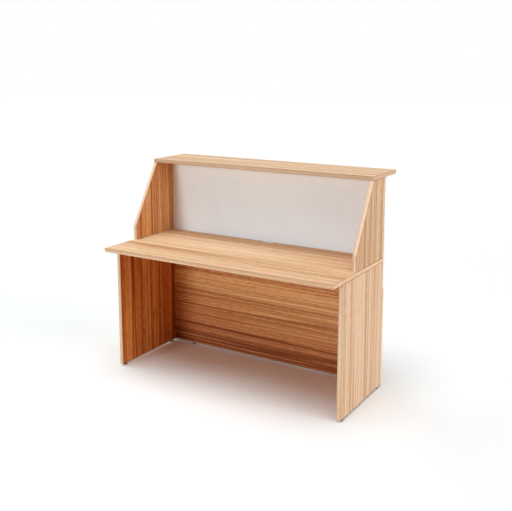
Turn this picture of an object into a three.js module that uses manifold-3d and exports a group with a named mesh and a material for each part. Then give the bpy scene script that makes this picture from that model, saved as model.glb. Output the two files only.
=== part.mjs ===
// Reception desk with a raised visitors' counter, built from boards and cam fittings.
// Millimetres, +Z up. The origin lies on the floor, under the middle of the desk's outline.
// The staff sit on the -Y side, and visitors stand on the +Y side.

import * as THREE from 'three';
import { mergeVertices } from 'three/addons/utils/BufferGeometryUtils.js';
import Module from 'manifold-3d';

const wasm = await Module();
wasm.setup();

// Overall sizes
const deskWidth = 1400;
const worktopDepth = 600;
const worktopHeight = 720;
const counterHeight = 1170;
const counterDepth = 300;
const counterOverhang = 150; // past the back of the worktop, on the visitors' side
const groundClearance = 9; // floor to the boards' lower edges

// Boards
const worktopThickness = 22;
const counterThickness = 22;
const sideThickness = 22; // end panels and hutch sides
const frontPanelThickness = 22;
const worktopOverhang = 100; // past the end panels, on the staff side
const hutchFootDepth = 350;
const hutchUpright = 85; // straight part of the hutch's front edge, below the slant
const lowerPanelTop = 545;
const panelReveal = 3; // open line between the two front panels
const boardGap = 0.3; // joint line between boards that meet
const arrisRadius = 1.5; // rounding along the boards' edges
const arrisSteps = 2;

// Cable notch in the back edge of the worktop
const notchWidth = 80;
const notchDepth = 25;
const notchRadius = 14;
const notchSteps = 5;

// Cam fittings
const camDiameter = 15;
const camSetback = 34; // joint face to the cam's axis
const camRecess = 0.4; // cam face below the board's face
const camHollowDiameter = 10;
const camHollowWidth = 8;
const camFloor = 1.5; // metal behind the hollow
const camSlotTurn = THREE.MathUtils.degToRad(130); // from the locked bolt to the mouth
const driverSlotLength = 9;
const driverSlotWidth = 1.8;
const driverSlotDepth = 2.4;
const boltDiameter = 7;
const boltNeckDiameter = 4.2;
const boltHeadDiameter = 6.8;
const boltHeadLength = 5;
const threadDiameter = 5;
const threadLength = 11;
const dowelDiameter = 8;
const dowelLength = 30;
const dowelInCounter = 12;
const fitClearance = 0.3; // round every fitting in its bore
const pieceChamfer = 1; // on the ends of bolts, dowels and studs

// Places of the fittings
const tieInset = 60; // from both ends of the hutch side's foot
const counterCamInset = 55; // from the front of the hutch side's top
const counterDowelInset = 32; // from the back of the hutch side's top
const lowerPanelCamInset = 80; // from the panel's upper and lower edges
const upperPanelCamDrop = 160; // below the counter shelf
const worktopCamInset = 350; // from the worktop's ends

// Levelling feet
const footInset = 32; // from the ends of an end panel's lower edge
const lowerPanelFootInset = 160; // from the ends of the lower front panel
const padDiameter = 20;
const padHeight = 4.8;
const padSole = 1.4; // plastic under the stud's foot
const padCornerRadius = 0.8;
const padShoulder = 3; // straight height of the pad's rim
const studDiameter = 8;
const studFootDiameter = 12;
const studFootHeight = 1.6;
const studInBoard = 27;
const collarFlats = 11; // across the spanner collar
const collarSides = 6;
const collarStop = 0.4; // collar to socket with the foot screwed fully in
const socketDiameter = 13;
const socketLength = 32;
const socketRibHeight = 0.4;
const socketRibs = 2;
const flangeDiameter = 19;
const flangeThickness = 1.2;

// Facets round each kind of turned piece
const camSides = 12;
const boltSides = 8;
const padSides = 16;
const socketSides = 12;
const weldTolerance = 1e-4;

// Places worked out from the sizes above
const halfWidth = deskWidth / 2;
const frontY = -(worktopDepth + counterOverhang) / 2;
const backY = frontY + worktopDepth;
const worktopBottom = worktopHeight - worktopThickness;
const counterBottom = counterHeight - counterThickness;
const endPanelFront = frontY + worktopOverhang;
const hutchFront = backY - hutchFootDepth;
const hutchTopDepth = counterDepth - counterOverhang;
const hutchHeight = counterBottom - worktopHeight - 2 * boardGap;
const panelInnerY = backY + boardGap;
const upperPanelBottom = lowerPanelTop + panelReveal;
const sides = [
  { side: 'left', sign: -1 },
  { side: 'right', sign: 1 },
];

const axisX = new THREE.Vector3(1, 0, 0);
const axisY = new THREE.Vector3(0, 1, 0);
const axisZ = new THREE.Vector3(0, 0, 1);

// Materials
function finish(name, color, roughness, metalness) {
  const material = new THREE.MeshStandardMaterial({ color, roughness, metalness });
  material.name = name;
  return material;
}

const woodDecor = finish('wood_decor', 0xdcb68d, 0.45, 0);
const whiteBoard = finish('white_board', 0xe6e3df, 0.3, 0);
const zincAlloy = finish('zinc_alloy', 0xb4b6b8, 0.4, 1);
const platedSteel = finish('plated_steel', 0x8d8f92, 0.35, 1);
const beech = finish('beech', 0xd2ae7e, 0.7, 0);
const blackPlastic = finish('black_plastic', 0x1a1a1a, 0.5, 0);
const greyNylon = finish('grey_nylon', 0x3a3a3a, 0.55, 0);

// Closed solids for cutting and joining
function toSolid(geometry) {
  const shell = geometry.clone();
  shell.deleteAttribute('normal');
  shell.deleteAttribute('uv');
  const welded = mergeVertices(shell, weldTolerance);
  const corners = welded.index.array;
  const triangles = [];
  for (let i = 0; i < corners.length; i += 3) {
    const [a, b, c] = corners.slice(i, i + 3);
    if (a !== b && b !== c && c !== a) triangles.push(a, b, c);
  }
  const vertProperties = new Float32Array(welded.attributes.position.array);
  const triVerts = new Uint32Array(triangles);
  return new wasm.Manifold(new wasm.Mesh({ numProp: 3, vertProperties, triVerts }));
}

function toGeometry(solid) {
  const { vertProperties, triVerts } = solid.getMesh();
  const geometry = new THREE.BufferGeometry();
  geometry.setAttribute('position', new THREE.BufferAttribute(vertProperties, 3));
  geometry.setIndex(new THREE.BufferAttribute(triVerts, 1));
  geometry.computeVertexNormals();
  return geometry;
}

function cut(geometry, cutters) {
  const rest = cutters.reduce((solid, cutter) => solid.subtract(toSolid(cutter)), toSolid(geometry));
  return toGeometry(rest);
}

// A round rod along Z, between two heights
function rod(diameter, from, to, facets) {
  const geometry = new THREE.CylinderGeometry(diameter / 2, diameter / 2, to - from, facets);
  return geometry.rotateX(Math.PI / 2).translate(0, 0, (from + to) / 2);
}

function rodAlongX(diameter, from, to, facets) {
  return rod(diameter, from, to, facets).rotateY(Math.PI / 2);
}

// A turned piece about Z, from [radius, height] points listed upwards along its outside
function turned(profile, facets) {
  const points = profile.map(([radius, height]) => new THREE.Vector2(radius, height));
  return toGeometry(toSolid(new THREE.LatheGeometry(points, facets).rotateX(Math.PI / 2)));
}

// Boards: each lies in its own XY plane, with its thickness along Z, and is then stood up
const desk = new THREE.Group();
desk.name = 'reception_desk';
const flat = [0, 0, 0];
const acrossWidth = [Math.PI / 2, Math.PI / 2, 0]; // outline in world YZ, thickness along +X
const facingStaff = [Math.PI / 2, 0, 0]; // outline in world XZ, thickness along -Y

function rectangle(width, height) {
  const outline = new THREE.Shape();
  outline.moveTo(0, 0);
  outline.lineTo(width, 0);
  outline.lineTo(width, height);
  outline.lineTo(0, height);
  return outline;
}

function worktopOutline() {
  const notchHalf = notchWidth / 2;
  const notchFloor = worktopDepth - notchDepth;
  const arcY = notchFloor + notchRadius;
  const arcX = notchHalf - notchRadius;
  const outline = new THREE.Shape();
  outline.moveTo(0, 0);
  outline.lineTo(deskWidth, 0);
  outline.lineTo(deskWidth, worktopDepth);
  outline.lineTo(halfWidth + notchHalf, worktopDepth);
  outline.absarc(halfWidth + arcX, arcY, notchRadius, 0, -Math.PI / 2, true);
  outline.absarc(halfWidth - arcX, arcY, notchRadius, -Math.PI / 2, -Math.PI, true);
  outline.lineTo(halfWidth - notchHalf, worktopDepth);
  outline.lineTo(0, worktopDepth);
  return outline;
}

function hutchOutline() {
  const outline = new THREE.Shape();
  outline.moveTo(0, 0);
  outline.lineTo(hutchFootDepth, 0);
  outline.lineTo(hutchFootDepth, hutchHeight);
  outline.lineTo(hutchFootDepth - hutchTopDepth, hutchHeight);
  outline.lineTo(0, hutchUpright);
  return outline;
}

function addBoard(name, outline, thickness, material, [x, y, z], [turnX, turnY, turnZ]) {
  const geometry = new THREE.ExtrudeGeometry(outline, {
    depth: thickness - 2 * arrisRadius,
    bevelThickness: arrisRadius,
    bevelSize: arrisRadius,
    bevelOffset: -arrisRadius,
    bevelSegments: arrisSteps,
    curveSegments: notchSteps,
  });
  const board = new THREE.Mesh(geometry.translate(0, 0, arrisRadius), material);
  board.name = name;
  board.position.set(x, y, z);
  board.rotation.set(turnX, turnY, turnZ);
  board.updateMatrix();
  board.userData.bores = [];
  desk.add(board);
  return board;
}

// A bore is noted in the frame of its fitting, and cut once every fitting is placed
function bore(board, cutter, fitting) {
  const toBoard = board.matrix.clone().invert().multiply(fitting.matrix);
  board.userData.bores.push(cutter.applyMatrix4(toBoard));
}

function drillBoards(boards) {
  for (const board of boards) {
    board.geometry = cut(board.geometry, board.userData.bores);
    board.userData = {};
  }
}

const worktop = addBoard(
  'worktop', worktopOutline(), worktopThickness, woodDecor, [-halfWidth, frontY, worktopBottom], flat);
const counterShelf = addBoard(
  'counter_shelf', rectangle(deskWidth, counterDepth), counterThickness, woodDecor,
  [-halfWidth, backY + counterOverhang - counterDepth, counterBottom], flat);
const upperFrontPanel = addBoard(
  'upper_front_panel', rectangle(deskWidth, counterBottom - boardGap - upperPanelBottom),
  frontPanelThickness, whiteBoard,
  [-halfWidth, panelInnerY + frontPanelThickness, upperPanelBottom], facingStaff);
const lowerFrontPanel = addBoard(
  'lower_front_panel', rectangle(deskWidth, lowerPanelTop - groundClearance),
  frontPanelThickness, woodDecor,
  [-halfWidth, panelInnerY + frontPanelThickness, groundClearance], facingStaff);

const endPanels = {};
const hutchSides = {};
for (const { side, sign } of sides) {
  const innerX = Math.min(sign * halfWidth, sign * (halfWidth - sideThickness));
  const endPanelOutline = rectangle(
    backY - endPanelFront, worktopBottom - boardGap - groundClearance);
  endPanels[side] = addBoard(
    `end_panel_${side}`, endPanelOutline, sideThickness, woodDecor,
    [innerX, endPanelFront, groundClearance], acrossWidth);
  hutchSides[side] = addBoard(
    `hutch_side_${side}`, hutchOutline(), sideThickness, woodDecor,
    [innerX, hutchFront, worktopHeight + boardGap], acrossWidth);
}

// A fitting's frame: origin on the bolt's axis, Z along the bolt, X out of the cam's face
function addFitting([x, y, z], faceAxis, boltAxis) {
  const fitting = new THREE.Group();
  const sideAxis = boltAxis.clone().cross(faceAxis);
  fitting.position.set(x, y, z);
  fitting.setRotationFromMatrix(new THREE.Matrix4().makeBasis(faceAxis, sideAxis, boltAxis));
  fitting.updateMatrix();
  desk.add(fitting);
  return fitting;
}

function addPiece(group, name, geometry, material) {
  const piece = new THREE.Mesh(geometry, material);
  piece.name = name;
  group.add(piece);
  return piece;
}

// Cam: a drum with a hollow for the bolt's head and a slot round its rim for the bolt's neck
function camGeometry(boardThickness) {
  const face = boardThickness / 2 - camRecess;
  const halfHollow = camHollowWidth / 2;
  const slotWidth = boltNeckDiameter + 2 * fitClearance;
  const slotStart = -Math.PI / 2;
  const slotEnd = slotStart + camSlotTurn;
  const drum = rodAlongX(camDiameter, -halfHollow - camFloor, face, camSides);
  const hollow = rodAlongX(camHollowDiameter, -halfHollow, halfHollow, boltSides);
  const sector = new THREE.Shape();
  sector.moveTo(0, 0);
  sector.absarc(0, 0, camDiameter, slotStart, slotEnd, false);
  const slot = new THREE.ExtrudeGeometry(sector, {
    depth: slotWidth, bevelEnabled: false, curveSegments: boltSides,
  });
  slot.translate(0, 0, -slotWidth / 2);
  slot.applyMatrix4(new THREE.Matrix4().makeBasis(axisY, axisZ, axisX));
  const slotRound = rod(slotWidth, -camDiameter, 0, boltSides);
  const mouth = rod(boltHeadDiameter + 2 * fitClearance, 0, camDiameter, boltSides);
  mouth.rotateX(slotEnd - Math.PI / 2);
  const driverSlots = [0, Math.PI / 2].map((turn) => {
    const groove = new THREE.BoxGeometry(2 * driverSlotDepth, driverSlotLength, driverSlotWidth);
    return groove.rotateX(turn).translate(face, 0, 0);
  });
  return cut(drum, [hollow, slot, slotRound, mouth, ...driverSlots]);
}

function camPocket(boardThickness) {
  const floor = -camHollowWidth / 2 - camFloor - fitClearance;
  return rodAlongX(camDiameter + 2 * fitClearance, floor, boardThickness, camSides);
}

// The end of a bolt that a cam holds: body, neck and head, up to the cam's axis
function camEnd(setback) {
  const headStart = setback - boltHeadLength / 2;
  const headEnd = setback + boltHeadLength / 2;
  const bodyEnd = setback - camDiameter / 2 - 2 * fitClearance;
  return [
    [boltDiameter / 2, bodyEnd],
    [boltNeckDiameter / 2, bodyEnd],
    [boltNeckDiameter / 2, headStart],
    [boltHeadDiameter / 2, headStart],
    [boltHeadDiameter / 2, headEnd - pieceChamfer],
    [boltNeckDiameter / 2, headEnd],
    [0, headEnd],
  ];
}

function camBoltGeometry() {
  return turned([
    [0, -threadLength],
    [threadDiameter / 2 - pieceChamfer, -threadLength],
    [threadDiameter / 2, pieceChamfer - threadLength],
    [threadDiameter / 2, fitClearance],
    [boltDiameter / 2, fitClearance],
    ...camEnd(camSetback),
  ], boltSides);
}

function addCam(fitting, name, camBoard, boardThickness, setback) {
  const cam = addPiece(fitting, name, camGeometry(boardThickness), zincAlloy);
  cam.position.z = setback;
  cam.rotation.x = setback < 0 ? Math.PI : 0;
  bore(camBoard, camPocket(boardThickness).translate(0, 0, setback), fitting);
}

// One cam in the edge zone of a board, with its bolt screwed into the board that it meets
function addCamJoint(names, place, faceAxis, boltAxis, camBoard, boardThickness, boltBoard) {
  const fitting = addFitting(place, faceAxis, boltAxis);
  addCam(fitting, names.cam, camBoard, boardThickness, camSetback);
  addPiece(fitting, names.bolt, camBoltGeometry(), platedSteel);
  const boltHole = boltDiameter + 2 * fitClearance;
  const threadHole = threadDiameter + 2 * fitClearance;
  bore(camBoard, rod(boltHole, -boardGap, camSetback, boltSides), fitting);
  bore(boltBoard, rod(threadHole, -threadLength - fitClearance, boardGap, boltSides), fitting);
}

// Tie bolt through the worktop, with one cam above and one below
function addTie(end, place, faceAxis, hutchSide, endPanel) {
  const fitting = addFitting(place, faceAxis, axisZ);
  const setback = worktopThickness / 2 + boardGap + camSetback;
  addCam(fitting, `hutch_cam_${end}`, hutchSide, sideThickness, setback);
  addCam(fitting, `end_panel_cam_${end}`, endPanel, sideThickness, -setback);
  const upperEnd = camEnd(setback);
  const lowerEnd = upperEnd.map(([radius, height]) => [radius, -height]).reverse();
  addPiece(fitting, `tie_bolt_${end}`, turned([...lowerEnd, ...upperEnd], boltSides), platedSteel);
  for (const board of [hutchSide, worktop, endPanel]) {
    bore(board, rod(boltDiameter + 2 * fitClearance, -setback, setback, boltSides), fitting);
  }
}

// Dowel between the counter shelf and a hutch side, standing on the joint
function addDowel(name, place, hutchSide) {
  const fitting = addFitting(place, axisX, axisZ);
  const radius = dowelDiameter / 2;
  const bottom = dowelInCounter - dowelLength;
  const dowel = turned([
    [0, bottom],
    [radius - pieceChamfer, bottom],
    [radius, bottom + pieceChamfer],
    [radius, dowelInCounter - pieceChamfer],
    [radius - pieceChamfer, dowelInCounter],
    [0, dowelInCounter],
  ], boltSides);
  addPiece(fitting, name, dowel, beech);
  const hole = () => rod(
    dowelDiameter + 2 * fitClearance, bottom - fitClearance, dowelInCounter + fitClearance, boltSides);
  bore(hutchSide, hole(), fitting);
  bore(counterShelf, hole(), fitting);
}

for (const { side, sign } of sides) {
  const inward = axisX.clone().multiplyScalar(-sign);
  const boardX = sign * (halfWidth - sideThickness / 2);
  const hutchTopFront = backY - hutchTopDepth;
  const endPanel = endPanels[side];
  const hutchSide = hutchSides[side];

  for (const [end, y] of [['front', hutchFront + tieInset], ['back', backY - tieInset]]) {
    const place = [boardX, y, worktopHeight - worktopThickness / 2];
    addTie(`${side}_${end}`, place, inward, hutchSide, endPanel);
  }

  addCamJoint(
    { cam: `counter_cam_${side}`, bolt: `counter_bolt_${side}` },
    [boardX, hutchTopFront + counterCamInset, counterBottom],
    inward, axisZ.clone().negate(), hutchSide, sideThickness, counterShelf);
  addDowel(
    `counter_dowel_${side}`, [boardX, backY - counterDowelInset, counterBottom], hutchSide);

  const lowerPanelCams = [
    ['low', groundClearance + lowerPanelCamInset],
    ['high', lowerPanelTop - lowerPanelCamInset],
  ];
  for (const [level, z] of lowerPanelCams) {
    addCamJoint(
      { cam: `lower_panel_cam_${side}_${level}`, bolt: `lower_panel_bolt_${side}_${level}` },
      [boardX, panelInnerY, z], inward, axisY.clone().negate(), endPanel, sideThickness,
      lowerFrontPanel);
  }

  addCamJoint(
    { cam: `upper_panel_cam_${side}`, bolt: `upper_panel_bolt_${side}` },
    [boardX, panelInnerY, counterBottom - upperPanelCamDrop],
    inward, axisY.clone().negate(), hutchSide, sideThickness, upperFrontPanel);
  addCamJoint(
    { cam: `worktop_cam_${side}`, bolt: `worktop_bolt_${side}` },
    [sign * (halfWidth - worktopCamInset), panelInnerY, worktopHeight - worktopThickness / 2],
    axisZ.clone().negate(), axisY.clone().negate(), worktop, worktopThickness, upperFrontPanel);
}

// Levelling feet: a socket in the board's lower edge, a stud with a spanner collar, a swivel pad
const flangeTop = groundClearance - boardGap;
const flangeBottom = flangeTop - flangeThickness;
const collarBottom = padHeight + fitClearance;
const collarTop = flangeBottom - collarStop;
const studFootBottom = padSole + fitClearance;
const studFootTop = studFootBottom + studFootHeight;

function padGeometry() {
  const rim = padDiameter / 2;
  const throat = studDiameter / 2 + 2 * fitClearance;
  const socketRadius = studFootDiameter / 2 + fitClearance;
  const socketTop = studFootTop + fitClearance;
  return turned([
    [0, 0],
    [rim - padCornerRadius, 0],
    [rim, padCornerRadius],
    [rim, padShoulder],
    [socketRadius + padCornerRadius, padHeight],
    [throat, padHeight],
    [throat, socketTop],
    [socketRadius, socketTop],
    [socketRadius, padSole],
    [0, padSole],
  ], padSides);
}

function studGeometry() {
  const shank = studDiameter / 2;
  const foot = studFootDiameter / 2;
  const top = groundClearance + studInBoard;
  const stem = turned([
    [0, studFootBottom],
    [foot, studFootBottom],
    [foot, studFootTop - pieceChamfer],
    [foot - pieceChamfer, studFootTop],
    [shank, studFootTop],
    [shank, top - pieceChamfer],
    [shank - pieceChamfer, top],
    [0, top],
  ], boltSides);
  const acrossCorners = collarFlats / Math.cos(Math.PI / collarSides);
  const collar = rod(acrossCorners, collarBottom, collarTop, collarSides);
  return toGeometry(toSolid(stem).add(toSolid(collar)));
}

function socketGeometry() {
  const outer = socketDiameter / 2;
  const inner = studDiameter / 2 + fitClearance;
  const top = flangeTop + socketLength;
  const ribPitch = socketLength / (socketRibs + 1);
  const ribs = [];
  for (let i = 1; i <= socketRibs; i += 1) {
    const height = flangeTop + i * ribPitch;
    ribs.push([outer, height], [outer - socketRibHeight, height]);
  }
  return turned([
    [inner, flangeBottom],
    [flangeDiameter / 2, flangeBottom],
    [flangeDiameter / 2, flangeTop],
    [outer - socketRibHeight, flangeTop],
    ...ribs,
    [outer, top],
    [inner, top],
    [inner, flangeBottom],
  ], socketSides);
}

function addFoot(name, x, y, board) {
  const foot = addFitting([x, y, 0], axisX, axisZ);
  addPiece(foot, `foot_socket_${name}`, socketGeometry(), greyNylon);
  addPiece(foot, `foot_stud_${name}`, studGeometry(), platedSteel);
  addPiece(foot, `foot_pad_${name}`, padGeometry(), blackPlastic);
  const hole = rod(
    socketDiameter + 2 * fitClearance, 0, flangeTop + socketLength + fitClearance, socketSides);
  bore(board, hole, foot);
}

for (const { side, sign } of sides) {
  const boardX = sign * (halfWidth - sideThickness / 2);
  addFoot(`${side}_front`, boardX, endPanelFront + footInset, endPanels[side]);
  addFoot(`${side}_back`, boardX, backY - footInset, endPanels[side]);
  addFoot(
    `${side}_panel`, sign * (halfWidth - lowerPanelFootInset),
    panelInnerY + frontPanelThickness / 2, lowerFrontPanel);
}

drillBoards([
  worktop, counterShelf, upperFrontPanel, lowerFrontPanel,
  ...Object.values(endPanels), ...Object.values(hutchSides),
]);

export default desk;
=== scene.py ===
import math

import bmesh
import bpy
from mathutils import Matrix, Vector


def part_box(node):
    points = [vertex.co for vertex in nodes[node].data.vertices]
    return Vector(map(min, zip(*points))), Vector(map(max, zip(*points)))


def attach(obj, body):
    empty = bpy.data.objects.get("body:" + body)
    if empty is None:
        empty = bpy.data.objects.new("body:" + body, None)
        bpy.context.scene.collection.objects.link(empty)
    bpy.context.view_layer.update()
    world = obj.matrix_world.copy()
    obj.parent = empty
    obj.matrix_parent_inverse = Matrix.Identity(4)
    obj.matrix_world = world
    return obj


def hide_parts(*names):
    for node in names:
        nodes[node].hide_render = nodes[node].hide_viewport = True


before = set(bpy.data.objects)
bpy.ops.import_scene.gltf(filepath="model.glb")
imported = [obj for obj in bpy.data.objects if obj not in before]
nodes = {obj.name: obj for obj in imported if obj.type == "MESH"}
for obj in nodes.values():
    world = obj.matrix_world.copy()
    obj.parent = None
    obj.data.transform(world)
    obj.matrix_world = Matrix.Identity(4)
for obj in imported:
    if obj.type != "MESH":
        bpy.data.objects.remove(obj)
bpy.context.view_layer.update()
feet = [f"{side}_{end}" for side in ("left", "right") for end in ("front", "back", "panel")]
print("frame loaded:", len(nodes), "nodes")


# Camera, solved from the corners of the desk in the photograph
cameraSetup = {
    "place": (2.159, -3.473, 1.732),
    "yaw": 31.23,  # degrees to the left of +Y
    "pitch": 9.74,  # degrees below the horizon
    "focal": 766.2,  # pixels
    "imageWidth": 512,
    "sensor": 36.0,
    "shiftUp": -0.12,  # keeps the uprights nearly parallel
}


def addCamera(setup):
    lens = bpy.data.cameras.new("deskCamera")
    lens.sensor_width = setup["sensor"]
    lens.lens = setup["focal"] * setup["sensor"] / setup["imageWidth"]
    lens.shift_y = setup["shiftUp"]
    camera = bpy.data.objects.new("deskCamera", lens)
    camera.location = setup["place"]
    camera.rotation_euler = (math.radians(90 - setup["pitch"]), 0, math.radians(setup["yaw"]))
    bpy.context.scene.collection.objects.link(camera)
    bpy.context.scene.camera = camera


addCamera(cameraSetup)
bpy.context.scene.view_settings.view_transform = "Standard"
print("camera placed")


# Node wiring: maths on values becomes Math nodes, and node() adds any other kind
class Wire:
    def __init__(self, tree, socket=None):
        self.tree = tree
        self.socket = socket

    def node(self, kind, settings=None, values=None, out=0):
        made = self.tree.nodes.new(kind)
        for name, value in (settings or {}).items():
            if name == "stops":
                ramp = made.color_ramp.elements
                while len(ramp) < len(value):
                    ramp.new(1.0)
                for stop, (position, colour) in zip(ramp, value):
                    stop.position = position
                    stop.color = colour
            else:
                setattr(made, name, value)
        for name, value in (values or {}).items():
            many = value if isinstance(value, list) else [value]
            for one in many:
                if isinstance(one, Wire):
                    self.tree.links.new(one.socket, made.inputs[name])
                else:
                    made.inputs[name].default_value = one
        return Wire(self.tree, made.outputs[out] if len(made.outputs) else None)

    def output(self, name):  # another output of the same node
        return Wire(self.tree, self.socket.node.outputs[name])

    def maths(self, operation, *terms):
        return self.node("ShaderNodeMath", {"operation": operation}, dict(enumerate(terms)))

    def __add__(self, other):
        return self.maths("ADD", self, other)

    __radd__ = __add__

    def __mul__(self, other):
        return self.maths("MULTIPLY", self, other)

    __rmul__ = __mul__

    def __sub__(self, other):
        return self.maths("SUBTRACT", self, other)

    def __rsub__(self, other):
        return self.maths("SUBTRACT", other, self)

    def __abs__(self):
        return self.maths("ABSOLUTE", self)

    def larger(self, other):
        return self.maths("MAXIMUM", self, other)

    def smooth(self, low, high):
        return self.node(
            "ShaderNodeMapRange", {"interpolation_type": "SMOOTHSTEP"}, {0: self, 1: low, 2: high})


def linear(red, green, blue):  # a colour as it is on screen, turned into what shaders take
    shares = (value / 255 for value in (red, green, blue))
    flat = [s / 12.92 if s <= 0.04045 else ((s + 0.055) / 1.055) ** 2.4 for s in shares]
    return (*flat, 1.0)


def startMaterial(name):
    material = bpy.data.materials.new(name)
    material.use_nodes = True
    tree = material.node_tree
    return material, Wire(tree), tree.nodes["Principled BSDF"]


def feed(wire, shader, **values):
    for name, value in values.items():
        socket = shader.inputs[name.replace("_", " ")]
        if isinstance(value, Wire):
            wire.tree.links.new(value.socket, socket)
        else:
            socket.default_value = value


def times(wire, vector, shares):
    return wire.node("ShaderNodeVectorMath", {"operation": "MULTIPLY"}, {0: vector, 1: shares})


noiseMiddle = 0.5  # the mean of every noise field


def noise(wire, place, rates, detail, roughness=0.5):  # rates are changes in a metre
    return wire.node("ShaderNodeTexNoise", None, {
        "Vector": times(wire, place, rates), "Scale": 1.0, "Detail": detail, "Roughness": roughness})


def blend(wire, share, first, second):  # by number, as the Mix node's sockets share their names
    return wire.node("ShaderNodeMix", {"data_type": "RGBA"}, {0: share, 6: first, 7: second}, out=2)


def bump(wire, height, look):
    return wire.node("ShaderNodeBump", None, {
        "Height": height, "Distance": look["relief"], "Strength": look["reliefShare"]})


# Wood decor: straight grain in bands, stripes, dark lines, hair lines and pores
decorLook = {
    "pale": linear(250, 225, 195),
    "mid": linear(240, 204, 168),
    "tan": linear(219, 174, 136),
    "blush": linear(233, 191, 158),
    "line": linear(178, 121, 82),
    "pore": linear(150, 100, 64),
    "wanderSize": 1 / 3,  # metres across the grain
    "shiverSize": 1 / 16,
    "bandSize": 0.060,
    "blushSize": 0.10,
    "stripeSize": 0.011,
    "lineSize": 0.034,
    "faintSize": 0.01054,
    "hairSize": 0.0026,
    "streakSize": 0.006,
    "poreSize": 0.0011,
    "sway": 0.009,  # metres by which the wander moves the grain
    "waver": 0.0022,  # and the shiver
    "bandShare": 0.32,  # how much each adds to the tone
    "stripeShare": 0.95,
    "hairShare": 0.36,
    "streakShare": 0.42,
    "toneStops": (0.36, 0.50, 0.64),  # tones that are tan, mid and pale
    "blushRange": (0.45, 0.65),  # noise where each begins and where it is full
    "lineRange": (0.70, 0.40),
    "poreRange": (0.64, 0.74),
    "poreHairRange": (0.42, 0.60),
    "lineWidth": 0.07,  # half widths, in noise
    "faintWidth": 0.09,
    "blushMost": 0.36,  # the most of each colour
    "lineMost": 0.75,
    "faintMost": 0.36,
    "poreMost": 0.28,
    "roughness": 0.46,
    "hairRough": 0.12,  # roughness that hair lines and pores add
    "poreRough": 0.10,
    "hairRelief": 0.4,  # height of hair lines for a pore's depth of 1
    "relief": 0.00012,  # metres
    "reliefShare": 0.25,
    "gloss": 0.18,
    "paintedShadeFade": 0.001,  # metres over which the painted shade on the inside face begins, either side of the middle
    "sheet": (0.0, 0.0, 0.0),  # metres along the sheet, where the board is cut from it
}
# changes in a metre along the grain and through the board, detail and roughness
grainNoise = {
    "wander": (0.9, 4.0, 1.0, 0.5),
    "shiver": (11.0, 6.0, 2.0, 0.5),
    "band": (0.22, 3.0, 1.0, 0.5),
    "blush": (0.20, 7.0, 1.0, 0.5),
    "stripe": (0.7, 5.0, 2.0, 0.65),
    "line": (0.28, 4.0, 1.0, 0.5),
    "faint": (0.28, 4.0, 1.0, 0.5),
    "hair": (6.0, 9.0, 2.0, 0.6),
    "streak": (24.0, 30.0, 2.0, 0.5),
    "pore": (24.0, 60.0, 1.0, 0.5),
}
# axes of the desk along the grain, across it and through the board
levelGrain = (0, 1, 2)
frontGrain = (0, 2, 1)
uprightGrain = (2, 1, 0)


def grainField(wire, place, look, name):
    along, through, detail, roughness = grainNoise[name]
    return noise(wire, place, (along, 1 / look[f"{name}Size"], through), detail, roughness)


def thinLines(wire, place, look, name):
    field = grainField(wire, place, look, name)
    return 1 - abs(field - noiseMiddle).smooth(0.0, look[f"{name}Width"])


def grain(wire, place, look):
    split = wire.node("ShaderNodeSeparateXYZ", None, {0: place})
    along, across, depth = (split.output(i) for i in range(3))
    wander = grainField(wire, place, look, "wander") - noiseMiddle
    shiver = grainField(wire, place, look, "shiver") - noiseMiddle
    across = across + wander * (2 * look["sway"]) + shiver * (2 * look["waver"])
    line = wire.node("ShaderNodeCombineXYZ", None, {0: along, 1: across, 2: depth})
    bands, blushes, stripes, hairs, streaks, pores = (
        grainField(wire, line, look, name)
        for name in ("band", "blush", "stripe", "hair", "streak", "pore"))
    parts = {"bandShare": bands, "stripeShare": stripes, "hairShare": hairs, "streakShare": streaks}
    level = noiseMiddle * (1 - sum(look[share] for share in parts))  # keeps the mean tone
    tone = sum((field * look[share] for share, field in parts.items()), level)
    stops = list(zip(look["toneStops"], (look["tan"], look["mid"], look["pale"])))
    base = wire.node("ShaderNodeValToRGB", {"stops": stops}, {0: tone})
    warm = blend(wire, blushes.smooth(*look["blushRange"]) * look["blushMost"], base, look["blush"])
    strong = thinLines(wire, line, look, "line") * bands.smooth(*look["lineRange"]) * look["lineMost"]
    faint = thinLines(wire, line, look, "faint") * look["faintMost"]
    lined = blend(wire, strong.larger(faint), warm, look["line"])
    flecks = pores.smooth(*look["poreRange"]) * hairs.smooth(*look["poreHairRange"])
    return blend(wire, flecks * look["poreMost"], lined, look["pore"]), hairs, flecks


def finishWood(wire, shader, place, look, paintedShade=None, corner=None):
    colour, hairs, flecks = grain(wire, place, look)
    # painted shade: the inside face gets a deeper, more saturated colour through a gamma and a tone
    if paintedShade:
        deep = wire.node("ShaderNodeGamma", None, {"Color": colour, "Gamma": look["paintedShadeDepth"]})
        colour = blend(wire, paintedShade, colour, times(wire, deep, look["paintedShadeTone"]))
    # dark brown at the strip's rounded corners: partly its plain body, partly painted shade along the
    # board's edges
    if corner:
        colour = blend(wire, corner * look["bodyAndShadeShare"], colour, look["body"])
    rough = look["roughness"] + hairs * look["hairRough"] + flecks * look["poreRough"]
    feed(wire, shader, Base_Color=colour, Roughness=rough, Specular_IOR_Level=look["gloss"],
         Normal=bump(wire, hairs * look["hairRelief"] - flecks, look))


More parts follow.
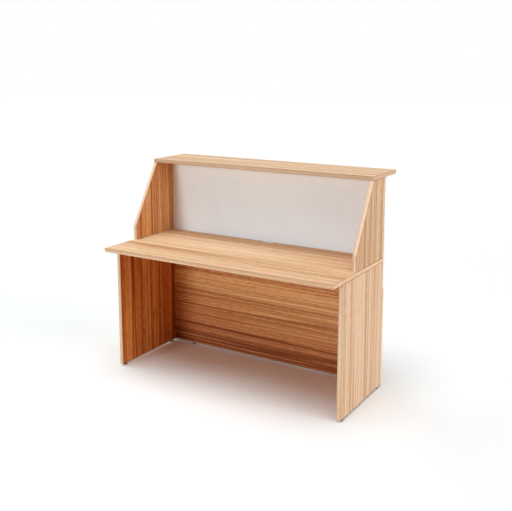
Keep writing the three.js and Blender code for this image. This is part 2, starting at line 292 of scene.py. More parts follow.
def woodDecor(name, look, lie, board=None):
    material, wire, shader = startMaterial(name)
    spot = wire.node("ShaderNodeTexCoord", out="Object")
    split = wire.node("ShaderNodeSeparateXYZ", None, {0: spot})
    turned = {slot: split.output(axis) for slot, axis in enumerate(lie)}
    place = wire.node("ShaderNodeCombineXYZ", None, turned)
    place = wire.node("ShaderNodeMapping", None, {"Vector": place, "Location": look["sheet"]})
    paintedShade = None
    if board:  # its face on the desk's inside is painted darker and more saturated: painted shade
        through = lie[2]
        low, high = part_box(board)
        middle = abs(low[through] + high[through]) / 2
        fade = look["paintedShadeFade"]
        paintedShade = abs(split.output(through)).smooth(middle + fade, middle - fade)
    finishWood(wire, shader, place, look, paintedShade=paintedShade)
    return material


def tonedForLight(look, shares):  # a copy of the decor for one board, scaled in each channel to suit how it is lit: the darker copies are partly painted shade
    colours = ("pale", "mid", "tan", "blush", "line", "pore")
    return {**look, **{c: (*(v * s for v, s in zip(look[c], shares)), 1.0) for c in colours}}


worktopLook = {
    **tonedForLight(decorLook, (0.94, 0.89, 0.79)),
    # wide bands, and a sheet placed so that a dark band of the decor lies along the back edge under the
    # counter shelf: painted shadow
    "bandSize": 0.20,
    "blushSize": 1 / 3,
    "bandShare": 0.60,
    "stripeShare": 0.70,
    "gloss": 0.06,
    "sheet": (14.09, 5.14, 16.47),
}
counterLook = tonedForLight(decorLook, (0.88, 0.86, 0.77))
frontLook = {
    **decorLook,
    # wide bands, and a sheet placed so that the decor is darker towards the bottom and the left:
    # painted shade
    "bandSize": 0.20,
    "blushSize": 1 / 3,
    "bandShare": 0.65,
    "stripeShare": 0.58,
    # painted shade on its inside face, darker and more saturated
    "paintedShadeDepth": 2.20,
    "paintedShadeTone": (1.01, 0.99, 0.91),
    "sheet": (2.16, 14.97, 15.94),
}
endLook = {
    **tonedForLight(decorLook, (0.93, 0.995, 1.05)),
    # painted shade on its inside face, darker and more saturated
    "paintedShadeDepth": 2.30,
    "paintedShadeTone": (1.33, 0.95, 0.555),
}
hutchLook = {
    **tonedForLight(decorLook, (0.80, 0.80, 0.75)),
    # painted shade on its inside face, darker and more saturated
    "paintedShadeDepth": 1.40,
    "paintedShadeTone": (1.25, 0.99, 0.73),
    "sheet": (3.1, 0.83, 0.4),
}
beechLook = {
    **decorLook,
    "pale": linear(226, 196, 152),
    "mid": linear(216, 182, 136),
    "tan": linear(202, 165, 118),
    "blush": linear(212, 172, 130),
    "line": linear(176, 136, 92),
    "bandSize": 0.012,
    "blushSize": 0.020,
    "stripeSize": 0.004,
    "lineSize": 0.009,
    "faintSize": 0.00279,
    "hairSize": 0.0011,
    "streakSize": 0.002,
    "sway": 0.001,
    "waver": 0.0003,
    "roughness": 0.60,
}


# Edging: the same decor on a strip, a little quieter, with its grain along the strip,
# and a dark brown where its corners are rounded: partly the strip's plain body, partly painted shade
# along each board's edges
edgingLook = {
    **decorLook,
    "pale": linear(248, 222, 192),
    "mid": linear(240, 206, 171),
    "tan": linear(224, 183, 147),
    "blush": linear(234, 196, 165),
    "line": linear(196, 146, 110),
    "body": linear(150, 106, 74),
    "bodyAndShadeShare": 0.85,
    "bodyAndShadeRange": (0.0094, 0.0098),  # metres from the strip's middle to its corners
    "bandSize": 0.045,
    "blushSize": 0.075,
    "stripeSize": 0.010,
    "lineSize": 0.030,
    "faintSize": 0.0093,
    "sway": 0.002,
    "waver": 0.0006,
    "roughness": 0.38,
}
# a darker copy of the edging for the counter shelf: painted shade
shadedCounterEdgingLook = tonedForLight(edgingLook, (0.76, 0.74, 0.73))
uprightEdgingLook = {
    **edgingLook,
    "pale": linear(252, 230, 204),
    "mid": linear(247, 218, 187),
    "tan": linear(235, 200, 166),
    "blush": linear(241, 208, 178),
    "line": linear(210, 166, 130),
}


def edgingWood(name, look):
    material, wire, shader = startMaterial(name)
    place = wire.node("ShaderNodeTexCoord", out="UV")
    height = wire.node("ShaderNodeSeparateXYZ", None, {0: place}, out="Y")
    finishWood(wire, shader, place, look, corner=abs(height).smooth(*look["bodyAndShadeRange"]))
    return material


whiteLook = {
    "base": linear(245, 249, 253),
    "shade": linear(242, 246, 250),
    "cloudRate": 6.0,  # changes in a metre
    "cloudDetail": 2.0,
    "cloudRange": (0.35, 0.65),
    "cloudRough": 0.08,
    "peelRate": 900.0,
    "peelDetail": 1.0,
    "roughness": 0.34,
    "gloss": 0.25,
    "relief": 0.00003,
    "reliefShare": 0.2,
}


def whiteMelamine(name, look):
    material, wire, shader = startMaterial(name)
    place = wire.node("ShaderNodeTexCoord", out="Object")
    clouds = noise(wire, place, (look["cloudRate"],) * 3, look["cloudDetail"])
    peel = noise(wire, place, (look["peelRate"],) * 3, look["peelDetail"])
    colour = blend(wire, clouds.smooth(*look["cloudRange"]), look["base"], look["shade"])
    rough = look["roughness"] + clouds * look["cloudRough"]
    feed(wire, shader, Base_Color=colour, Roughness=rough, Specular_IOR_Level=look["gloss"],
         Normal=bump(wire, peel, look))
    return material


castLook = {
    "blotchDetail": 3.0,
    "blotchCoarse": 0.6,
    "blotchRange": (0.35, 0.70),
    "blotchRough": 0.2,
    "relief": 0.00005,
    "reliefShare": 0.2,
}
zincLook = {
    **castLook,
    "bright": linear(196, 198, 200),
    "dull": linear(150, 152, 155),
    "blotchRate": 260.0,  # changes in a metre
    "roughness": 0.38,
}
steelLook = {
    **castLook,
    "bright": linear(205, 206, 208),
    "dull": linear(160, 164, 170),
    "blotchRate": 420.0,
    "roughness": 0.26,
}
blackZincLook = {
    **castLook,
    "bright": linear(84, 85, 88),
    "dull": linear(52, 53, 56),
    "blotchRate": 420.0,
    "roughness": 0.40,
}


def castMetal(name, look):
    material, wire, shader = startMaterial(name)
    place = wire.node("ShaderNodeTexCoord", out="Object")
    rates = (look["blotchRate"],) * 3
    blotches = noise(wire, place, rates, look["blotchDetail"], look["blotchCoarse"])
    colour = blend(wire, blotches.smooth(*look["blotchRange"]), look["bright"], look["dull"])
    rough = look["roughness"] + blotches * look["blotchRough"]
    feed(wire, shader, Base_Color=colour, Metallic=1.0, Roughness=rough,
         Normal=bump(wire, blotches, look))
    return material


mouldedLook = {
    "pebbleDetail": 2.0,
    "scuffRates": (220.0, 220.0, 90.0),  # changes in a metre
    "scuffDetail": 3.0,
    "scuffCoarse": 0.65,
    "scuffRange": (0.55, 0.75),
    "scuffMost": 0.6,
    "scuffRough": 0.15,
    "relief": 0.00008,
    "reliefShare": 0.35,
}
padLook = {
    **mouldedLook,
    "base": linear(28, 28, 29),
    "worn": linear(52, 51, 50),
    "pebbleRate": 1500.0,
    "roughness": 0.48,
}
nylonLook = {
    **mouldedLook,
    "base": linear(44, 44, 45),
    "worn": linear(62, 61, 60),
    "pebbleRate": 1100.0,
    "roughness": 0.52,
}


def mouldedPlastic(name, look):
    material, wire, shader = startMaterial(name)
    place = wire.node("ShaderNodeTexCoord", out="Object")
    pebbles = noise(wire, place, (look["pebbleRate"],) * 3, look["pebbleDetail"])
    scuffs = noise(wire, place, look["scuffRates"], look["scuffDetail"], look["scuffCoarse"])
    worn = scuffs.smooth(*look["scuffRange"]) * look["scuffMost"]
    colour = blend(wire, worn, look["base"], look["worn"])
    rough = look["roughness"] + scuffs * look["scuffRough"]
    feed(wire, shader, Base_Color=colour, Roughness=rough, Normal=bump(wire, pebbles, look))
    return material


finishes = {
    "worktopWood": woodDecor("woodDecorWorktop", worktopLook, levelGrain),
    "counterWood": woodDecor("woodDecorCounter", counterLook, levelGrain),
    "frontWood": woodDecor("woodDecorFront", frontLook, frontGrain, "lower_front_panel"),
    "endWood": woodDecor("woodDecorEnd", endLook, uprightGrain, "end_panel_right"),
    "hutchWood": woodDecor("woodDecorHutch", hutchLook, uprightGrain, "hutch_side_right"),
    "levelEdging": edgingWood("woodEdgingLevel", edgingLook),
    "shadedCounterEdging": edgingWood("woodEdgingCounterShaded", shadedCounterEdgingLook),
    "uprightEdging": edgingWood("woodEdgingUpright", uprightEdgingLook),
    "white": whiteMelamine("whiteMelamine", whiteLook),
    "zinc": castMetal("zincAlloy", zincLook),
    "steel": castMetal("platedSteel", steelLook),
    "blackZinc": castMetal("blackZincSteel", blackZincLook),
    "pad": mouldedPlastic("blackPlastic", padLook),
    "nylon": mouldedPlastic("greyNylon", nylonLook),
    "beech": woodDecor("beechDowel", beechLook, uprightGrain),
}
print("finishes made:", len(finishes))


# What every mesh piece goes through
def newMesh(name, points, faces):
    mesh = bpy.data.meshes.new(name)
    mesh.from_pydata(points, [], faces)
    return mesh


def ringWalls(rings, count):  # faces between each ring of points and the next one
    walls = []
    for k in range(rings - 1):
        for i in range(count):
            j = (i + 1) % count
            walls.append((k * count + i, k * count + j, (k + 1) * count + j, (k + 1) * count + i))
    return walls


def ringCaps(rings, count):
    return [tuple(reversed(range(count))), tuple(range((rings - 1) * count, rings * count))]


def cleaned(mesh, weld, sliver, outwards):
    shape = bmesh.new()
    shape.from_mesh(mesh)
    bmesh.ops.remove_doubles(shape, verts=shape.verts, dist=weld)
    bmesh.ops.dissolve_degenerate(shape, edges=shape.edges, dist=sliver)
    if outwards:
        bmesh.ops.recalc_face_normals(shape, faces=shape.faces)
    shape.to_mesh(mesh)
    shape.free()
    return mesh


def addPiece(name, mesh, material, body, stands=()):
    piece = bpy.data.objects.new(name, mesh)
    bpy.context.scene.collection.objects.link(piece)
    mesh.materials.clear()
    mesh.materials.append(material)
    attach(piece, body)
    if stands:
        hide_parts(*stands)


def holdMesh(name, mesh):
    holder = bpy.data.objects.new(name, mesh)
    bpy.context.scene.collection.objects.link(holder)
    return holder


def bakeMesh(holder):
    bpy.context.view_layer.update()
    graph = bpy.context.evaluated_depsgraph_get()
    mesh = bpy.data.meshes.new_from_object(holder.evaluated_get(graph))
    bpy.data.objects.remove(holder)
    return mesh


# Bores for the fittings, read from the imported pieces
boreSetup = {
    "slack": 0.0003,
    "through": 0.003,  # how far a cam's bore runs out of the face
    "facets": 32,
    "socketBody": 0.0065,  # radius without the flange
    "sliver": 0.000002,  # narrower faces are merged
}
camNodes = [n for n in sorted(nodes) if "_cam_" in n]
rodNodes = [n for n in sorted(nodes) if "_bolt_" in n or "_dowel_" in n or "_socket_" in n]


def rodMesh(name, rods):
    shape = bmesh.new()
    for centre, axis, radius, length in rods:
        turn = Vector((0, 0, 1)).rotation_difference(axis).to_matrix().to_4x4()
        bmesh.ops.create_cone(
            shape, cap_ends=True, segments=boreSetup["facets"], radius1=radius, radius2=radius,
            depth=length, matrix=Matrix.Translation(centre) @ turn)
    mesh = bpy.data.meshes.new(name)
    shape.to_mesh(mesh)
    shape.free()
    return mesh


def camFace(node):
    if node.startswith("worktop"):
        return Vector((0, 0, -1))
    return Vector((-1 if "right" in node else 1, 0, 0))


def boreRod(node):
    low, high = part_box(node)
    centre, size = (low + high) / 2, high - low
    slack = boreSetup["slack"]
    if "_cam_" in node:
        facing = camFace(node)
        deep = abs(size.dot(facing)) + slack + boreSetup["through"]
        radius = sorted(size)[1] / 2 + slack
        start = centre - facing * (abs(size.dot(facing)) / 2 + slack)
        return start + facing * (deep / 2), facing, radius, deep
    axis = max(range(3), key=lambda i: size[i])
    direction = Vector([1.0 if i == axis else 0.0 for i in range(3)])
    radius = boreSetup["socketBody"] if "socket" in node else sorted(size)[0] / 2
    return centre, direction, radius + slack, size[axis] + 2 * slack


def meets(node, low, high):
    nodeLow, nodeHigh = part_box(node)
    return all(nodeLow[i] < high[i] and nodeHigh[i] > low[i] for i in range(3))


def drilled(name, mesh, board):
    low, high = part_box(board)
    holder = holdMesh(name, mesh)
    cutters = []
    for kind, names in (("cams", camNodes), ("rods", rodNodes)):
        rods = [boreRod(n) for n in names if meets(n, low, high)]
        if rods:
            cutter = holdMesh(f"{name}_{kind}", rodMesh(kind, rods))
            drill = holder.modifiers.new(kind, "BOOLEAN")
            drill.operation = "DIFFERENCE"
            drill.solver = "EXACT"
            drill.object = cutter
            cutters.append(cutter)
    done = bakeMesh(holder)
    for cutter in cutters:
        bpy.data.objects.remove(cutter)
    return cleaned(done, boreSetup["sliver"], boreSetup["sliver"], outwards=False)


# Boards: a core with the decor on both faces, and an edging strip glued all round
boardSetup = {
    "strip": 0.002,  # thickness of the edging
    "stripRun": 7.3,  # metres of strip from the start of one board's edging to the next one's
    "arris": 0.0015,  # rounding of its outer corners
    "arrisSteps": 5,
    "seam": 0.0002,  # hairline where the strip meets the face
    "slack": 0.00002,
}
worktopShape = {"notchWidth": 0.080, "notchDepth": 0.025, "notchRadius": 0.014, "notchSteps": 10}
hutchShape = {"upright": 0.085, "topDepth": 0.150}


def plainOutline(width, height):
    return [Vector((0, 0)), Vector((width, 0)), Vector((width, height)), Vector((0, height))]


def worktopOutline(width, height):
    half, radius = worktopShape["notchWidth"] / 2, worktopShape["notchRadius"]
    steps = worktopShape["notchSteps"]
    floor = height - worktopShape["notchDepth"]
    notch = []
    for side, start in ((1, 0), (-1, -90)):
        middle = Vector((width / 2 + side * (half - radius), floor + radius))
        for i in range(steps + 1):
            turn = math.radians(start - 90 * i / steps)
            notch.append(middle + radius * Vector((math.cos(turn), math.sin(turn))))
    corners = plainOutline(width, height)
    mouth = [Vector((width / 2 + half, height)), *notch, Vector((width / 2 - half, height))]
    return [*corners[:3], *mouth, corners[3]]


def hutchOutline(width, height):
    topFront = Vector((width - hutchShape["topDepth"], height))
    return [*plainOutline(width, height)[:3], topFront, Vector((0, hutchShape["upright"]))]


def inset(outline, distance):
    points = []
    for i, point in enumerate(outline):
        before = (point - outline[i - 1]).normalized()
        after = (outline[(i + 1) % len(outline)] - point).normalized()
        inwards = Vector((-before.y, before.x)) + Vector((-after.y, after.x))
        inwards.normalize()
        points.append(point + inwards * (distance / inwards.dot(Vector((-after.y, after.x)))))
    return points


def stripProfile(thickness):
    half, arris = thickness / 2, boardSetup["arris"]
    strip, seam, steps = boardSetup["strip"], boardSetup["seam"], boardSetup["arrisSteps"]
    lower = [(strip, seam - half), (strip - seam, -half)]
    for i in range(steps + 1):
        turn = math.radians(90 * i / steps)
        lower.append((arris - arris * math.sin(turn), arris - half - arris * math.cos(turn)))
    upper = [(depth, -height) for depth, height in reversed(lower)]
    return lower + upper


def edgingMesh(name, outline, thickness, startLength):
    profile = stripProfile(thickness)
    count = len(outline)
    points = [(*p, height) for depth, height in profile for p in inset(outline, depth)]
    runs = [startLength]
    for i in range(count):
        runs.append(runs[-1] + (outline[(i + 1) % count] - outline[i]).length)
    lengths = [math.dist(here, there) for here, there in zip(profile, profile[1:] + profile[:1])]
    rises = [-sum(lengths[:-1]) / 2]  # zero in the middle of the strip's flat
    for length in lengths:
        rises.append(rises[-1] + length)
    faces, corners, rounds = [], [], []
    for k in range(len(profile)):
        nextRing = (k + 1) % len(profile) * count
        rounded = 2 <= min(k, len(profile) - 2 - k) <= boardSetup["arrisSteps"] + 1
        for i in range(count):
            j = (i + 1) % count
            faces.append((k * count + i, k * count + j, nextRing + j, nextRing + i))
            corners += [(runs[i], rises[k]), (runs[i + 1], rises[k])]
            corners += [(runs[i + 1], rises[k + 1]), (runs[i], rises[k + 1])]
            rounds.append(rounded)
    mesh = newMesh(name, points, faces)
    layer = mesh.uv_layers.new(name="strip")
    for corner, place in zip(layer.data, corners):
        corner.uv = place
    for face, rounded in zip(mesh.polygons, rounds):
        face.use_smooth = rounded
    return mesh


def coreMesh(name, outline, thickness):
    half, seam = thickness / 2, boardSetup["seam"]
    depth = boardSetup["strip"] + boardSetup["slack"]
    rings = [(depth + seam, -half), (depth, seam - half), (depth, half - seam), (depth + seam, half)]
    count = len(outline)
    points = [(*p, height) for d, height in rings for p in inset(outline, d)]
    return newMesh(name, points, ringCaps(len(rings), count) + ringWalls(len(rings), count))


# How a board lies: its outline's two directions and its thickness, as axes of the desk
boardLies = {"level": (0, 1, 2), "upright": (1, 2, 0), "front": (0, 2, 1)}
boards = {
    "worktop": ("level", worktopOutline, "worktopWood", "levelEdging", "wood_decor"),
    "counter_shelf": ("level", plainOutline, "counterWood", "shadedCounterEdging", "wood_decor"),
    "lower_front_panel": ("front", plainOutline, "frontWood", "uprightEdging", "wood_decor"),
    "upper_front_panel": ("front", plainOutline, "white", "white", "white_board"),
    "end_panel_left": ("upright", plainOutline, "endWood", "uprightEdging", "wood_decor"),
    "end_panel_right": ("upright", plainOutline, "endWood", "uprightEdging", "wood_decor"),
    "hutch_side_left": ("upright", hutchOutline, "hutchWood", "uprightEdging", "wood_decor"),
    "hutch_side_right": ("upright", hutchOutline, "hutchWood", "uprightEdging", "wood_decor"),
}


def addBoard(name, lies, outlineOf, faceFinish, edgeFinish, slot, startLength):
    low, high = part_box(name)
    size = high - low
    first, second, third = boardLies[lies]
    outline = outlineOf(size[first], size[second])
    stand = Matrix.Identity(4)
    for column, axis in enumerate((first, second, third)):
        turn = -1.0 if lies == "front" and column == 2 else 1.0  # so that it isn't mirrored
        stand.col[column] = [turn if i == axis else 0.0 for i in range(3)] + [0.0]
    corner = low.copy()
    corner[third] = (low[third] + high[third]) / 2
    stand.translation = corner
    core = coreMesh(f"{name}_core", outline, size[third])
    strip = edgingMesh(f"{name}_edging", outline, size[third], startLength)
    for mesh in (core, strip):
        mesh.transform(stand)
    core = drilled(f"{name}_core", core, name)
    strip = drilled(f"{name}_edging", strip, name)
    addPiece(f"{name}_board", core, finishes[faceFinish], "desk", [name])
    addPiece(f"{name}_edging", strip, finishes[edgeFinish], "desk")


for order, (name, recipe) in enumerate(boards.items()):
    addBoard(name, *recipe, startLength=boardSetup["stripRun"] * order)
print("boards made:", len(boards))


# Geometry Nodes: a tree with named inputs, run on a mesh and baked
def startTree(name, inputs):
    tree = bpy.data.node_groups.new(name, "GeometryNodeTree")
    tree.interface.new_socket("Geometry", in_out="INPUT", socket_type="NodeSocketGeometry")
    for label, kind in inputs.items():
        tree.interface.new_socket(label, in_out="INPUT", socket_type=f"NodeSocket{kind}")
    tree.interface.new_socket("Geometry", in_out="OUTPUT", socket_type="NodeSocketGeometry")
    entry = tree.nodes.new("NodeGroupInput")
    return tree, Wire(tree), {s.name: Wire(tree, s) for s in entry.outputs if s.name}


def endTree(wire, geometry, material):
    solid = wire.node("GeometryNodeRealizeInstances", None, {0: geometry})
    painted = wire.node("GeometryNodeSetMaterial", None, {"Geometry": solid, "Material": material})
    wire.node("NodeGroupOutput", None, {0: painted})


def grow(name, mesh, tree, values):
    holder = holdMesh(name, mesh)
    modifier = holder.modifiers.new(name, "NODES")
    modifier.node_group = tree
    for item in tree.interface.items_tree:
        if item.in_out == "INPUT" and item.name in values:
            modifier[item.identifier] = values[item.name]
    return bakeMesh(holder)


# Cover caps: thin decor discs over the cams
capSetup = {"Diameter": 0.018, "Height": 0.0006, "Sides": 48, "Weld": 0.000001}
capCrown = ((0.5, 1.0), (0.3, 0.985), (0.2, 0.955))  # steps: share of the height, and taper
capGroups = {
    "hutch_cam_caps": (("hutch", "counter", "upper"), "hutchWood"),
    "end_cam_caps": (("end", "lower"), "endWood"),
    "worktop_cam_caps": (("worktop",), "worktopWood"),
}


def capTree():
    tree, wire, given = startTree("coverCaps", {
        "Diameter": "Float", "Height": "Float", "Sides": "Int", "Weld": "Float", "Finish": "Material"})
    disc = {"Vertices": given["Sides"], "Radius": given["Diameter"] * 0.5}
    base = wire.node("GeometryNodeMeshCircle", {"fill_type": "NGON"}, disc)
    under = wire.node("GeometryNodeFlipFaces", None, {0: base})
    crown = base
    for rise, taper in capCrown:
        lift = wire.node("ShaderNodeCombineXYZ", None, {2: given["Height"] * rise})
        crown = wire.node("GeometryNodeExtrudeMesh", {"mode": "FACES"}, {
            "Mesh": crown, "Offset": lift, "Offset Scale": 1.0, "Individual": False})
        crown = wire.node("GeometryNodeScaleElements", None, {
            "Geometry": crown, "Selection": crown.output("Top"), "Scale": taper})
    whole = wire.node("GeometryNodeJoinGeometry", None, {0: [under, crown]})
    cap = wire.node("GeometryNodeMergeByDistance", None, {"Geometry": whole, "Distance": given["Weld"]})
    facing = wire.node(
        "GeometryNodeInputNamedAttribute", {"data_type": "FLOAT_VECTOR"}, {"Name": "facing"})
    turn = wire.node("FunctionNodeAlignRotationToVector", {"axis": "Z"}, {"Vector": facing})
    field = wire.node("GeometryNodeInstanceOnPoints", None, {
        "Points": given["Geometry"], "Instance": cap, "Rotation": turn})
    endTree(wire, field, given["Finish"])
    return tree


def capBoard(cam):
    if cam.startswith("worktop"):
        return "worktop"
    return "end_panel_right" if "right" in cam else "end_panel_left"  # the hutch is flush with it


def capPoints(cams):
    points, facings = [], [camFace(cam) for cam in cams]
    for cam, facing in zip(cams, facings):
        low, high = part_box(cam)
        place = (low + high) / 2
        boardLow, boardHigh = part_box(capBoard(cam))
        axis = max(range(3), key=lambda i: abs(facing[i]))
        place[axis] = boardHigh[axis] if facing[axis] > 0 else boardLow[axis]
        points.append(place)
    mesh = newMesh("capPoints", points, [])
    layer = mesh.attributes.new("facing", "FLOAT_VECTOR", "POINT")
    for item, facing in zip(layer.data, facings):
        item.vector = facing
    return mesh


capNodes = capTree()
for label, (starts, finish) in capGroups.items():
    cams = [n for n in camNodes if n.startswith(starts)]
    caps = grow(label, capPoints(cams), capNodes, {**capSetup, "Finish": finishes[finish]})
    addPiece(label, caps, finishes[finish], "desk")
print("cover caps made:", len(camNodes))


# Turned pieces: an outline of [radius, height] points spun about Z
turnSetup = {"steps": 48, "sharpAngle": 40, "weld": 0.0000001, "sliver": 0.00000001}


def spunPoints(profile, steps):
    turns = [2 * math.pi * i / steps for i in range(steps)]
    return [(r * math.cos(t), r * math.sin(t), height) for r, height in profile for t in turns]


def turnedMesh(name, profile):
    steps = turnSetup["steps"]
    mesh = newMesh(name, spunPoints(profile, steps), ringWalls(len(profile), steps))
    cleaned(mesh, turnSetup["weld"], turnSetup["sliver"], outwards=True)
    mesh.shade_smooth()
    mesh.set_sharp_from_angle(angle=math.radians(turnSetup["sharpAngle"]))
    return mesh


# Levelling feet, in millimetres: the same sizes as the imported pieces
footSetup = {
    "clearance": 0.3,
    "bevel": 0.3,
    "padRadius": 10.0,
    "padHeight": 4.8,
    "padShoulder": 3.0,
    "padEase": 0.1,
    "padCorner": 0.8,
    "padCornerShares": (0.5, 0.13),  # its rounding, as shares of the corner
    "padCrown": (1.4, 0.8, 0.2),  # outside the cup where it slopes up and where it is flat, and rise
    "sole": 1.4,
    # hollow and groove under the pad: radius and height
    "soleRings": [
        (0, 0.5), (4.0, 0.5), (4.4, 0.1), (4.8, 0.0), (6.6, 0.0), (6.9, 0.35), (7.7, 0.35), (8.0, 0.0)],
    "studRadius": 4.0,
    "studTop": 36.0,
    "studPoint": 0.8,
    "studFootRadius": 6.0,
    "studFootHeight": 1.6,
    "studFootCrown": (1.0, 0.8),  # how far in and down its rounding goes
    "neckRelief": 0.2,
    "threadDepth": 0.62,
    "threadRunout": 0.4,
    "collarBottom": 5.1,
    "collarTop": 7.1,
    "collarFlats": 11.0,
    "collarSides": 6,
    "collarEase": 0.1,
    "collarBevel": 0.4,
    "flangeBottom": 7.5,
    "flangeTop": 8.7,
    "flangeRadius": 9.5,
    "flangeBevel": 0.4,
    "socketRadius": 6.5,
    "socketLength": 32.0,
    "socketLead": 0.5,
    "barbs": 2,
    "barbDepth": 0.4,
}


def millimetres(profile):
    return [(radius / 1000, height / 1000) for radius, height in profile]


# Pad, with grip ribs round its rim
ribSetup = {
    "Ribs": 24,
    "Ring radius": 0.0098,
    "Rib radius": 0.0004,
    "Rib height": 0.0017,
    "Rib middle": 0.0018,
    "Rib sides": 10,
}


def padProfile(s):
    throat = s["studRadius"] + 2 * s["clearance"]
    cup = s["studFootRadius"] + s["clearance"]
    cupTop = s["sole"] + s["studFootHeight"] + 2 * s["clearance"]
    rim, shoulder, top, corner = s["padRadius"], s["padShoulder"], s["padHeight"], s["padCorner"]
    far, near = (corner * share for share in s["padCornerShares"])
    slope, flat, rise = s["padCrown"]
    ease, bevel = s["padEase"], s["bevel"]
    return millimetres([
        *s["soleRings"], (rim - corner, 0.0), (rim - far, near), (rim - near, far), (rim, corner),
        (rim, shoulder - bevel), (rim - ease, shoulder), (rim - ease - bevel, shoulder + bevel),
        (cup + slope, top - rise), (cup + flat, top), (throat + bevel, top), (throat, top - bevel),
        (throat, cupTop), (cup, cupTop), (cup, s["sole"]), (0, s["sole"])])


def ribTree():
    tree, wire, given = startTree("gripRibs", {
        "Ribs": "Int", "Ring radius": "Float", "Rib radius": "Float", "Rib height": "Float",
        "Rib middle": "Float", "Rib sides": "Int", "Finish": "Material"})
    ring = wire.node("GeometryNodeMeshCircle", {"fill_type": "NONE"}, {
        "Vertices": given["Ribs"], "Radius": given["Ring radius"]})
    lift = wire.node("ShaderNodeCombineXYZ", None, {2: given["Rib middle"]})
    raised = wire.node("GeometryNodeTransform", None, {"Geometry": ring, "Translation": lift})
    rib = wire.node("GeometryNodeMeshCylinder", {"fill_type": "NGON"}, {
        "Vertices": given["Rib sides"], "Radius": given["Rib radius"], "Depth": given["Rib height"]})
    ribs = wire.node("GeometryNodeInstanceOnPoints", None, {"Points": raised, "Instance": rib})
    whole = wire.node("GeometryNodeJoinGeometry", None, {0: [given["Geometry"], ribs]})
    endTree(wire, whole, given["Finish"])
    return tree


# Stud, with its spanner collar and a thread ridge
threadSetup = {
    "Pitch": 0.00125,
    "Turns": 22.0,
    "Steps in a turn": 32,
    "Ring radius": 0.00345,
    "Ridge": 0.00055,
    "Ridge sides": 4,
    "Start": 0.0078,
}


def studProfile(s):
    bottom = s["sole"] + s["clearance"]
    footTop = bottom + s["studFootHeight"]
    foot, top, collarTop, point = s["studFootRadius"], s["studTop"], s["collarTop"], s["studPoint"]
    core = s["studRadius"] - s["threadDepth"]
    neck = s["studRadius"] - s["neckRelief"]
    crownIn, crownDown = s["studFootCrown"]
    bevel = s["bevel"]
    return millimetres([
        (0, bottom), (foot - bevel, bottom), (foot, bottom + bevel), (foot, footTop - crownDown),
        (foot - bevel, footTop - bevel), (foot - crownIn, footTop), (neck, footTop),
        (neck, collarTop), (core, collarTop + s["threadRunout"]),
        (core, top - point), (core - point, top), (0, top)])


def collarMesh(s):
    flats, low, high = s["collarFlats"] / 2, s["collarBottom"], s["collarTop"]
    sides, ease, bevel = s["collarSides"], s["collarEase"], s["collarBevel"]
    corner = flats / math.cos(math.pi / sides)
    rings = [(flats - ease, low), (corner, low + bevel), (corner, high - bevel), (flats - ease, high)]
    faces = ringCaps(len(rings), sides) + ringWalls(len(rings), sides)
    return newMesh("collar", spunPoints(millimetres(rings), sides), faces)


def threadTree():
    tree, wire, given = startTree("studThread", {
        "Pitch": "Float", "Turns": "Float", "Steps in a turn": "Int", "Ring radius": "Float",
        "Ridge": "Float", "Ridge sides": "Int", "Start": "Float", "Finish": "Material"})
    spiral = wire.node("GeometryNodeCurveSpiral", None, {
        "Resolution": given["Steps in a turn"], "Rotations": given["Turns"],
        "Start Radius": given["Ring radius"], "End Radius": given["Ring radius"],
        "Height": given["Pitch"] * given["Turns"], "Reverse": True})
    ridge = wire.node("GeometryNodeCurvePrimitiveCircle", {"mode": "RADIUS"}, {
        "Resolution": given["Ridge sides"], "Radius": given["Ridge"]})
    sweep = wire.node("GeometryNodeCurveToMesh", None, {
        "Curve": spiral, "Profile Curve": ridge, "Fill Caps": True})
    lift = wire.node("ShaderNodeCombineXYZ", None, {2: given["Start"]})
    raised = wire.node("GeometryNodeTransform", None, {"Geometry": sweep, "Translation": lift})
    whole = wire.node("GeometryNodeJoinGeometry", None, {0: [given["Geometry"], raised]})
    endTree(wire, whole, given["Finish"])
    return tree


# Socket, with barbs that hold it in the board
def socketProfile(s):
    barb, flangeBevel = s["barbDepth"], s["flangeBevel"]
    bore, body, tip = s["studRadius"] + s["clearance"], s["socketRadius"] - barb, s["socketRadius"]
    low, high, rim = s["flangeBottom"], s["flangeTop"], s["flangeRadius"]
    end = high + s["socketLength"]
    barbs = []
    for i in range(s["barbs"]):
        height = high + s["socketLength"] * (i + 1) / (s["barbs"] + 1)
        barbs += [(body, height - barb), (tip, height), (body, height)]
    return millimetres([
        (bore, low), (rim - flangeBevel, low), (rim, low + flangeBevel), (rim, high), (body, high),
        *barbs, (body, end - s["socketLead"]), (body - s["bevel"], end), (bore, end), (bore, low)])


def joined(name, meshes):
    shape = bmesh.new()
    for mesh in meshes:
        shape.from_mesh(mesh)
    whole = bpy.data.meshes.new(name)
    shape.to_mesh(whole)
    shape.free()
    return whole


def moved(mesh, place):
    copy = mesh.copy()
    copy.transform(Matrix.Translation(place))
    return copy


padBody = turnedMesh("pad", padProfile(footSetup))
padMesh = grow("padRibs", padBody, ribTree(), {**ribSetup, "Finish": finishes["pad"]})
studTurned = turnedMesh("stud", studProfile(footSetup))
studBody = joined("studBody", [studTurned, collarMesh(footSetup)])
studMesh = grow("studThread", studBody, threadTree(), {**threadSetup, "Finish": finishes["blackZinc"]})
socketMesh = turnedMesh("socket", socketProfile(footSetup))
for foot in feet:
    low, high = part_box(f"foot_pad_{foot}")
    place = Vector(((low.x + high.x) / 2, (low.y + high.y) / 2, 0))
    addPiece(f"pad_{foot}", moved(padMesh, place), finishes["pad"], f"pad_{foot}",
             [f"foot_pad_{foot}"])
    addPiece(f"stud_{foot}", moved(studMesh, place), finishes["blackZinc"], f"stud_{foot}",
             [f"foot_stud_{foot}"])
    addPiece(f"socket_{foot}", moved(socketMesh, place), finishes["nylon"], "desk",
             [f"foot_socket_{foot}"])
print("feet made:", len(feet))


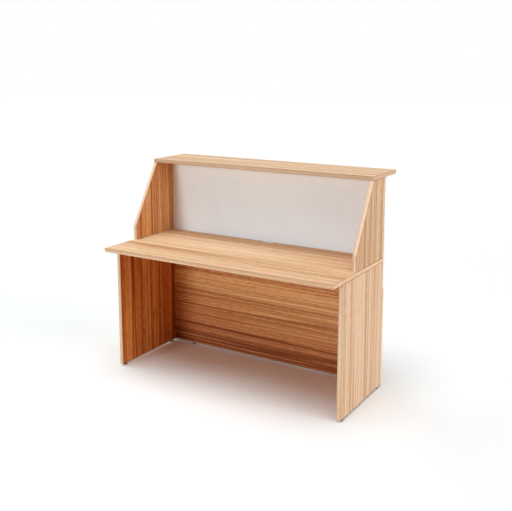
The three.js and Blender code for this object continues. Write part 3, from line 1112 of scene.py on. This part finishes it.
# Finishes on the fittings that stay as packed
fittingFinishes = {"_cam_": "zinc", "_bolt_": "steel", "_dowel_": "beech"}
for name, node in nodes.items():
    for part, finish in fittingFinishes.items():
        if part in name:
            node.data.materials.clear()
            node.data.materials.append(finishes[finish])
print("fittings finished")


# Stage and light
stageSetup = {
    "size": 60.0,
    "drop": 0.0003,  # just below the soles
    "seen": (0.978, 0.978, 0.964, 1.0),
    "bounce": (0.62, 0.39, 0.19, 1.0),  # colour of the light that it throws back on the desk
}
lightSetup = {
    "dome": 0.06,
    "white": (1.0, 1.0, 1.0, 1.0),  # background as seen
    "tone": (0.985, 1.0, 1.02),
    "coolTone": (0.87, 1.0, 1.08),
    # degrees above the floor, degrees round from the front towards the right, light on
    # a surface that faces it, spread in degrees, which softens its shadow, and tone
    "lamps": {
        "overhead": (80, 0, 0.61, 46, "tone"),
        "front": (7, 348, 0.365, 18, "coolTone"),
        "right": (6, 90, 0.47, 30, "tone"),
        "rightHigh": (35, 80, 0.17, 45, "tone"),
        "left": (30, 280, 0.25, 45, "tone"),
        "rightBack": (5, 135, 0.32, 30, "coolTone"),
        "leftBack": (8, 245, 0.40, 34, "coolTone"),
    },
}


def shownRays(wire):
    path = wire.node("ShaderNodeLightPath", out="Is Camera Ray")
    return path.larger(path.output("Is Glossy Ray")).larger(path.output("Is Transmission Ray"))


def addFloor(setup):
    half = setup["size"] / 2
    corners = [(x * half, y * half, -setup["drop"]) for x, y in ((-1, -1), (1, -1), (1, 1), (-1, 1))]
    mesh = newMesh("studioFloor", corners, [(0, 1, 2, 3)])
    material, wire, shader = startMaterial("studioFloor")
    wire.tree.nodes.remove(shader)
    bounce = wire.node("ShaderNodeBsdfDiffuse", None, {"Color": setup["bounce"]})
    seen = wire.node("ShaderNodeBsdfDiffuse", None, {"Color": setup["seen"]})
    both = wire.node("ShaderNodeMixShader", None, {0: shownRays(wire), 1: bounce, 2: seen})
    feed(wire, wire.tree.nodes["Material Output"], Surface=both)
    mesh.materials.append(material)
    floor = bpy.data.objects.new("studioFloor", mesh)
    bpy.context.scene.collection.objects.link(floor)


def addDome(setup):
    world = bpy.data.worlds.new("studioDome")
    bpy.context.scene.world = world
    world.use_nodes = True
    world.node_tree.nodes.clear()
    wire = Wire(world.node_tree)
    glow = {"Color": (*setup["tone"], 1.0), "Strength": setup["dome"]}
    dome = wire.node("ShaderNodeBackground", None, glow)
    white = wire.node("ShaderNodeBackground", None, {"Color": setup["white"], "Strength": 1.0})
    both = wire.node("ShaderNodeMixShader", None, {0: shownRays(wire), 1: dome, 2: white})
    wire.node("ShaderNodeOutputWorld", None, {"Surface": both})


def addLamps(setup):
    for name, (rise, swing, light, spread, tone) in setup["lamps"].items():
        lamp = bpy.data.lights.new(name, "SUN")
        lamp.energy = light * math.pi
        lamp.color = setup[tone]
        lamp.angle = math.radians(spread)
        source = bpy.data.objects.new(name, lamp)
        source.rotation_euler = (math.radians(90 - rise), 0, math.radians(swing))
        bpy.context.scene.collection.objects.link(source)


addFloor(stageSetup)
addDome(lightSetup)
addLamps(lightSetup)
print("stage and light set")
